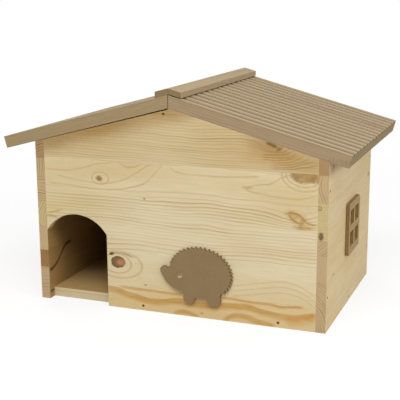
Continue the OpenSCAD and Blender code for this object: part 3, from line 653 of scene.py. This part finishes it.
# Broad latewood low on the panel, then the lines that bend round the knots
FRONT_STREAKS = (
    Streak(((-113, 33), (-94, 31.5), (-78, 27), (-59, 24), (-41, 21), (-19, 20.5), (8, 25.5), (30, 25),
            (52, 24.5), (84, 27), (116, 29), (137, 29.5), (147, 26.5), (168, 23.5), (188, 21), (208, 20.5),
            (222, 23.5), (242, 29)), 12.0, "#b27c30", 1.0),
    Streak(((-90, 37.5), (-60, 37), (-36, 37), (-14, 36), (8, 36), (24, 37)), 5.0, "#b68238", 0.85),
    Streak(((88, 39), (116, 39), (137, 37.5), (157, 38), (172, 37.5), (188, 35.5), (208, 38), (222, 39)), 5.0,
           "#b68238", 0.85),
    Streak(((6, 2), (19, 8), (34, 7), (43, 4), (50, 1)), 8.0, "#b27c30", 0.9),
    Streak(((196, 19), (212, 18), (226, 20.5), (243, 25)), 17.0, "#bb7c30", 0.75),
    Streak(((92, 2), (105, 11), (120, 14), (133, 12.5), (147, 8), (164, 5), (176, 3)), 10.0, "#b27c30", 0.9),
    Streak(((-104, 94.5), (-95, 95.5), (-78, 94.5), (-67, 91)), 3.6, "#9d7d46", 0.75),
    Streak(((-223, 154), (-211, 156), (-197, 160)), 4.0, "#a8823f", 0.85),
    Streak(((-224, 149), (-215, 149), (-205, 148)), 4.5, "#9c7838", 0.85),
    *(Streak(route, 2.2, "#8a6526", 0.75) for route in (
        ((160, 281), (176, 280), (189, 282), (198, 287)),
        ((157, 275), (176, 276), (190, 278), (201, 283)),
        ((157, 271), (183, 272), (198, 274), (207, 280)),
        ((157, 268), (186, 268), (198, 271), (209, 277)),
        ((170, 264), (195, 265), (209, 270), (218, 276)),
        ((170, 260), (198, 262), (214, 266), (226, 272)),
        ((170, 257), (201, 259), (218, 264), (234, 268)),
        ((170, 254), (202, 256), (222, 259), (240, 263)))),
    *(Streak(route, 3.2, RING, 0.6) for route in (
        ((-222, 229), (-168, 232), (-134, 241), (-101, 247)),
        ((-202, 220), (-154, 213), (-118, 211), (-96, 215), (-75, 222), (-58, 232), (-45, 241), (-32, 247)),
        ((-217, 206), (-169, 204), (-127, 201), (-86, 204), (-59, 211), (-40, 218), (-29, 229), (-13, 247)),
        ((-87, 248), (-79, 243), (-63, 242), (-50, 247)),
        ((2, 248), (7, 241), (17, 238), (80, 236), (149, 241)))),
    *(Streak(route, 3.6, RING, 0.5) for route in (
        ((126, 223), (134, 218), (167, 212), (188, 210), (213, 210), (240, 218)),
        ((130, 224), (152, 228), (170, 232), (187, 242), (199, 247)))),
    Streak(((193, 186), (200, 188), (208, 187), (216, 184), (223, 177), (229, 173), (241, 172)), 3.4,
           "#97691f", 0.95),
    Streak(((196, 185), (203, 178), (211, 172), (222, 170)), 3.0, "#a27630", 0.85),
    *(Streak(((107, 61 - drop), (142, 68 - drop), (177, 75 - drop), (207, 75 - drop), (226, 68 - drop),
              (240, 59 - drop)), 3.0, RING, 0.38) for drop in (0, 9, 18)),
)
# Staves of the side walls from the ground up; their sawn ends show on the front
LEFT_STAVES = tuple(
    Stave(start, pith, "pine_wall", end, 0.25, sawn)
    for start, end, sawn, pith in (
        (0, "end_pink", 0.7, (-80, -228)), (54, "end_orange", 0.9, (40, -270)),
        (85, "end_pink", 0.2, (106, -300)), (128, "end_pale", 1.0, (140, -195)),
        (173, "end_brown", 1.1, (90, -240)), (215, "end_brown", 1.3, (236, -278)),
        (246, "end_red", 1.2, (190, -210))))
RIGHT_STAVES = tuple(
    Stave(start, pith, "pine_wall", end, 0.25, sawn)
    for start, end, sawn, pith in (
        (0, "end_brown", 0.9, (-10, 190)), (81, "end_pink", 0.2, (100, 190)),
        (124, "end_brown", 0.7, (80, 300)), (146, "end_pale", 0.3, (60, 255)),
        (205, "end_brown", 1.0, (232, 288)), (248, "end_red", 0.3, (150, 240))))
# A crack on the left wall inside the entrance, and painted shade where the wall meets the floor at the front
LEFT_STREAKS = (
    Streak(((-187, 51), (-171, 54), (-156, 62), (-142, 74), (-127, 83), (-110, 83)), 6.5, "#44270a", 0.9,
           True),
    Streak(((-190, 12.5), (-181, 12.5), (-172, 12.5)), 4.0, "#4a3210", 0.9, True),
)
# Two on the right wall's sawn front end, then three on its outer face
RIGHT_KNOTS = (
    Knot((-188, 154, 248.5), (10, 6.5, 4), "#5a3d14", "#7a5a2c", 0.35, 0.85),
    Knot((-188, 198, 245.2), (10, 3.9, 3.9), "#bfa874", "#6b5128", 0.25, 0.9),
    Knot((-145, 81, 259), (10, 4, 20), "#a5854d", "#bda06a", 0.5, 0.8),
    Knot((120, 193, 259), (9, 5, 20), "#9b7f52", "#b59a68", 0.5, 0.8),
    Knot((-160, 259, 259), (6, 3, 20), "#8a7040", "#ad915c", 0.5, 0.8),
)
# Torn grain on the front edge of the fixed half, next to the eave
ROOF_FLECKS = tuple(
    Knot((along, -193.5, 339 + rise), (1.7, 6, 5), "#6d583a", "#80694a", 0.7, 0.6)
    for along, rise in ((267, 1), (272, 4), (278, 2), (283, 6), (287, 3), (291, 8), (294, 4), (296.5, 10)))


class HouseFrontPanel(bpy.types.Operator):
    """Finish the front panel with its knots and its broad latewood bands"""

    bl_idname = "house.front_panel"
    bl_label = "Front panel"

    def execute(self, context):
        staves = (Stave(0, line=0.8), Stave(249.5, face="pine_gold", line=0.85))
        board = Board(grain="xzy", seed=3.0, staves=staves, flat_rings=True,
                      rings=((-60, 164.0), (103, 7.0), (114, 5.4), (194, 58.0), (249, 4.4)), wave_l=130.0,
                      wave_w=60.0, wave=9.0, inside=1.0, knots=FRONT_KNOTS, bulges=FRONT_BULGES,
                      streaks=FRONT_STREAKS)
        dress("front_panel", planed_pine("pine_planed_front", board, context.scene.house_finish))
        return {"FINISHED"}


class HouseSideWalls(bpy.types.Operator):
    """Finish the two side walls, whose sawn ends show on the front"""

    bl_idname = "house.side_walls"
    bl_label = "Side walls"

    def execute(self, context):
        finish = context.scene.house_finish
        left = Board(grain="yzx", seed=11.0, staves=LEFT_STAVES, rings=((0, 4.4),),
                     inside=1.0, streaks=LEFT_STREAKS)
        right = Board(grain="yzx", seed=21.0, staves=RIGHT_STAVES, rings=((0, 4.4),),
                      inside=-1.0, knots=RIGHT_KNOTS)
        dress("left_wall", planed_pine("pine_planed_left", left, finish))
        dress("right_wall", planed_pine("pine_planed_right", right, finish))
        return {"FINISHED"}


class HouseInnerBoards(bpy.types.Operator):
    """Finish the back panel, the floor, the partition, the ridge beam and the cleats"""

    bl_idname = "house.inner_boards"
    bl_label = "Back and inner boards"

    def execute(self, context):
        finish = context.scene.house_finish
        back = tuple(Stave(start, pith) for start, pith in (
            (0, (50, 175)), (72, (92, 160)), (150, (195, 180)), (214, (244, 168)), (290, (300, 178))))
        floor = tuple(Stave(start, pith) for start, pith in (
            (-172, (-150, -30)), (-96, (-40, -45)), (-20, (10, -28)), (58, (100, -50))))
        # The partition, the ridge beam and the cleats, inside and under the roof, take the painted shade on
        # every face
        rough = (Stave(pith=(130, -160), face="pine_inside_shaded"),)
        beam = (Stave(pith=(20, 260), face="pine_inside_shaded"),)
        boards = {
            "back_panel": Board(grain="xzy", seed=31.0, staves=back, inside=-1.0),
            "floor_board": Board(grain="xyz", seed=41.0, staves=floor, inside=1.0, inner="pine_floor_shaded"),
            "inner_partition": Board(grain="yzx", seed=51.0, staves=rough),
            "ridge_beam": Board(grain="yxz", seed=61.0, staves=beam),
            "eave_cleat": Board(grain="yxz", seed=71.0, staves=beam),
            "flap_cleat": Board(grain="yxz", seed=81.0, staves=beam),
        }
        for node, board in boards.items():
            dress(node, planed_pine("pine_painted_shade_" + node, board, finish))
        return {"FINISHED"}


class HouseRoofBoards(bpy.types.Operator):
    """Finish the four grooved boards of the two roof halves"""

    bl_idname = "house.roof_boards"
    bl_label = "Roof boards"

    def execute(self, context):
        finish = context.scene.house_finish
        sides = (("right", -ROOF_PITCH, finish.edge_grey), ("left", ROOF_PITCH, finish.edge_warm))
        for side, turn, edge in sides:
            for end, seed, pith in (("front", 5.0, (-80, 280)), ("rear", 9.0, (85, 275))):
                flecks = ROOF_FLECKS if (side, end) == ("right", "front") else ()
                board = Board(grain="xyz", seed=seed, staves=(Stave(pith=pith),), rings=((0, 2.6),),
                              wave_l=300.0, wave=3.0, turn=turn, knots=flecks)
                dress(f"{side}_roof_{end}_board", treated_pine(
                    f"pine_treated_{side}_{end}", board, finish.treated_pale, edge, finish))
        return {"FINISHED"}


class HouseRidgeCap(bpy.types.Operator):
    """Finish the chevron strip over the ridge"""

    bl_idname = "house.ridge_cap"
    bl_label = "Ridge cap"

    def execute(self, context):
        finish = context.scene.house_finish
        board = Board(grain="yxz", seed=91.0, staves=(Stave(pith=(5, 320)),), rings=((0, 3.0),), wave=3.0)
        dress("ridge_cap", treated_pine(
            "pine_treated_cap", board, finish.treated_cap, finish.edge_grey, finish))
        return {"FINISHED"}


class HouseOrnaments(bpy.types.Operator):
    """Finish the hedgehog figure and the window frame"""

    bl_idname = "house.ornaments"
    bl_label = "Figure and window frame"

    def execute(self, context):
        finish = context.scene.house_finish
        dress("hedgehog_figure", brown_board(
            "fibreboard_laser_cut_figure", finish.board_face, finish.burnt_figure, finish.board_core,
            "y", FIGURE_MID_Y, FIGURE_HALF_T, FIGURE_EYE, finish.drilled_wall_painted_light))
        dress("window_frame", brown_board(
            "fibreboard_laser_cut_window", finish.board_window, finish.burnt_window, finish.board_core,
            "x", WINDOW_MID_X, WINDOW_HALF_T))
        return {"FINISHED"}


class HouseHardware(bpy.types.Operator):
    """Finish the hinges, the screws and the nails"""

    bl_idname = "house.hardware"
    bl_label = "Hinges, screws and nails"

    def execute(self, context):
        finish = context.scene.house_finish
        plate = zinc_plate("steel_zinc_plated", finish.zinc)
        wire = browned_wire("steel_wire_browned", finish.nail)
        for node in NODES:
            if node.endswith("_nails"):
                dress(node, wire)
            elif node.startswith("hinge_") or node.endswith("_screws"):
                dress(node, plate)
        return {"FINISHED"}


class HouseStageSet(bpy.types.Operator):
    """Set the floor, the soft light, the white background and the photograph's camera"""

    bl_idname = "house.stage"
    bl_label = "Stage"

    def execute(self, context):
        scene = context.scene
        stage = scene.house_stage
        scene.view_settings.view_transform = "Standard"
        self.floor(scene, stage)
        self.sky(scene, stage)
        self.lamp(scene, "lamp_key", (0.5, -1.85, 2.5), (2.0, 1.4), stage.key)
        self.lamp(scene, "lamp_fill", (2.5, -0.7, 1.3), (1.6, 1.4), stage.fill)
        self.lamp(scene, "lamp_rear", (-1.9, 1.9, 1.1), (1.6, 1.4), stage.rear)
        self.camera(scene)
        return {"FINISHED"}

    def seen(self, tree):
        """1 for what the camera sees, also in a mirror or through glass, and 0 for light on its way."""
        path = add(tree, "LightPath", out="Is Camera Ray").node.outputs
        seen = add(tree, "Math", [path["Is Camera Ray"], path["Is Glossy Ray"]], operation="MAXIMUM")
        return add(tree, "Math", [seen, path["Is Transmission Ray"]], operation="MAXIMUM")

    def floor(self, scene, stage):
        """Pale paper that stays white where the camera looks at it, apart from the house's shadow."""
        half = stage.floor_size / 2
        mesh = bpy.data.meshes.new("studio_floor")
        corners = [(-half, -half, 0), (half, -half, 0), (half, half, 0), (-half, half, 0)]
        mesh.from_pydata(corners, [], [(0, 1, 2, 3)])
        floor = bpy.data.objects.new("studio_floor", mesh)
        floor.location.z = -0.0002
        scene.collection.objects.link(floor)
        made, tree = new_material("paper_pale")
        seen = self.seen(tree)
        tone = add(tree, "Mix", {0: seen, 6: rgba(stage.floor_bounce), 7: rgba(stage.floor_tone)},
                   out=2, data_type="RGBA")
        paper = add(tree, "BsdfDiffuse", {"Color": tone})
        white = add(tree, "Emission", {"Color": (1.0, 1.0, 1.0, 1.0), "Strength": 1.0})
        place = add(tree, "TexCoord", out="Object")
        away = add(tree, "VectorMath", [place], out="Value", operation="LENGTH")
        share = add(tree, "MapRange", {"Value": away, "From Min": 0.4, "From Max": 1.6,
                                       "To Min": 0.7, "To Max": 1.0})
        share = add(tree, "Math", [share, seen], operation="MULTIPLY")
        shown = add(tree, "MixShader", [share, paper, white])
        add(tree, "OutputMaterial", {"Surface": shown})
        mesh.materials.append(made)

    def sky(self, scene, stage):
        """Soft light, strongest overhead; the camera sees plain white."""
        world = bpy.data.worlds.new("studio_white")
        world.use_nodes = True
        tree = world.node_tree
        tree.nodes.clear()
        way = add(tree, "SeparateXYZ", [add(tree, "TexCoord", out="Generated")], out="Z")
        level = add(tree, "MapRange", {"Value": way, "To Min": stage.sky_low, "To Max": stage.sky_high})
        level = add(tree, "Mix", {0: self.seen(tree), 2: level, 3: 1.0})
        light = add(tree, "Background", {"Color": (1.0, 1.0, 1.0, 1.0), "Strength": level})
        add(tree, "OutputWorld", {"Surface": light})
        scene.world = world

    def lamp(self, scene, name, place, size, power):
        """A soft box that looks at the middle of the house."""
        light = bpy.data.lights.new(name, "AREA")
        light.shape = "RECTANGLE"
        light.size, light.size_y = size
        light.energy = power
        lamp = bpy.data.objects.new(name, light)
        lamp.location = place
        aim = Vector((0.0, 0.0, 0.18)) - Vector(place)
        lamp.rotation_euler = aim.to_track_quat("-Z", "Y").to_euler()
        scene.collection.objects.link(lamp)

    def camera(self, scene):
        """The photograph's view, solved from the house's own edges."""
        yaw, tilt, roll = (math.radians(v) for v in (CAMERA_YAW, CAMERA_TILT, CAMERA_ROLL))
        look = Vector((-math.sin(yaw) * math.cos(tilt), math.cos(yaw) * math.cos(tilt), -math.sin(tilt)))
        right = look.cross(Vector((0, 0, 1))).normalized()
        up = right.cross(look)
        right, up = (math.cos(roll) * right + math.sin(roll) * up,
                     math.cos(roll) * up - math.sin(roll) * right)
        data = bpy.data.cameras.new("photo_camera")
        data.lens = CAMERA_LENS
        data.sensor_width = CAMERA_SENSOR
        camera = bpy.data.objects.new("photo_camera", data)
        turn = Matrix((right, up, -look)).transposed().to_4x4()
        camera.matrix_world = Matrix.Translation(CAMERA_PLACE) @ turn
        scene.collection.objects.link(camera)
        scene.camera = camera


class HousePanel(bpy.types.Panel):
    """Lists the house's finishing steps"""

    bl_idname = "VIEW3D_PT_house"
    bl_label = "Hedgehog house"
    bl_space_type = "VIEW_3D"
    bl_region_type = "UI"
    bl_category = "House"

    def draw(self, context):
        for step in STEPS:
            self.layout.operator(step.bl_idname)
        for group in (context.scene.house_finish, context.scene.house_stage):
            column = self.layout.column()
            for name in group.__annotations__:
                column.prop(group, name)


STEPS = (HouseFrontPanel, HouseSideWalls, HouseInnerBoards, HouseRoofBoards, HouseRidgeCap, HouseOrnaments,
         HouseHardware, HouseStageSet)
CLASSES = (HouseFinish, HouseStage, *STEPS, HousePanel)


def register():
    """Adds the classes and their settings."""
    for made in CLASSES:
        bpy.utils.register_class(made)
    bpy.types.Scene.house_finish = PointerProperty(type=HouseFinish)
    bpy.types.Scene.house_stage = PointerProperty(type=HouseStage)


def unregister():
    """Takes the settings and the classes away."""
    del bpy.types.Scene.house_stage
    del bpy.types.Scene.house_finish
    for made in reversed(CLASSES):
        bpy.utils.unregister_class(made)


def main():
    """Runs every step in order."""
    register()
    bpy.ops.house.front_panel()
    bpy.ops.house.side_walls()
    bpy.ops.house.inner_boards()
    bpy.ops.house.roof_boards()
    bpy.ops.house.ridge_cap()
    bpy.ops.house.ornaments()
    bpy.ops.house.hardware()
    bpy.ops.house.stage()


if __name__ == "__main__":
    main()
